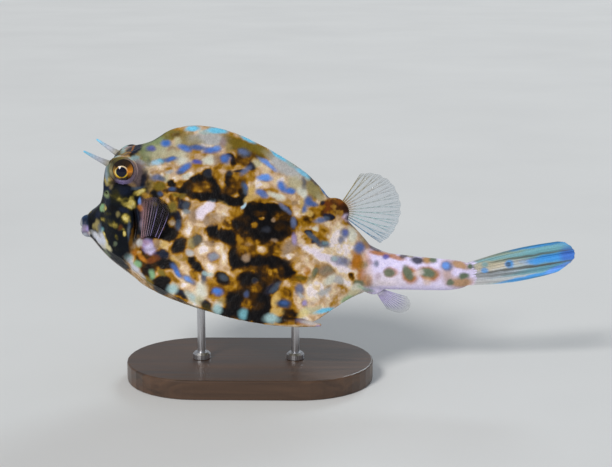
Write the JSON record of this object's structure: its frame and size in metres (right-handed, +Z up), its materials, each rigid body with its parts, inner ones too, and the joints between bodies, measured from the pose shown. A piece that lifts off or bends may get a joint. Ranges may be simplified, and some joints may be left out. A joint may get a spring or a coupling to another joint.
{
  "type": "scrawled cowfish",
  "caption": "Scrawled cowfish, life size and still, swimming level on a plain display stand, with brow horns, spread fins and a hard plated trunk.",
  "frame": {"origin": "on the floor under the fish, midway along its whole length and in its plane of symmetry", "axes": "+X towards the tail, so the head points to -X; +Y towards the fish's right side; +Z up"},
  "size_m": [0.3005, 0.09, 0.157],
  "materials": {
    "skin": "satin wet skin over bony plates",
    "stalk_skin": "satin wet skin",
    "fin_membrane": "thin, glossy and nearly clear between pale rays",
    "tail_fin": "thin, satin, turning blue to the tip",
    "horn": "smooth pale bone under thin skin",
    "lip": "smooth wet flesh",
    "eye": "wet and glossy",
    "stand_wood": "dark oiled wood",
    "stand_steel": "satin"
  },
  "bodies": {
    "root": {"head": "skin", "trunk": "skin", "tail_stalk": "stalk_skin", "tail_fin": "tail_fin", "dorsal_fin": "fin_membrane", "anal_fin": "fin_membrane", "pectoral_fin_left": "fin_membrane", "pectoral_fin_right": "fin_membrane", "horn_left": "horn", "horn_right": "horn", "belly_spine_left": "horn", "belly_spine_right": "horn", "lip_upper": "lip", "lip_lower": "lip", "eye_left": "eye", "eye_right": "eye", "stand_base": "stand_wood", "stand_rod_front": "stand_steel", "stand_rod_rear": "stand_steel"}
  },
  "joints": []
}
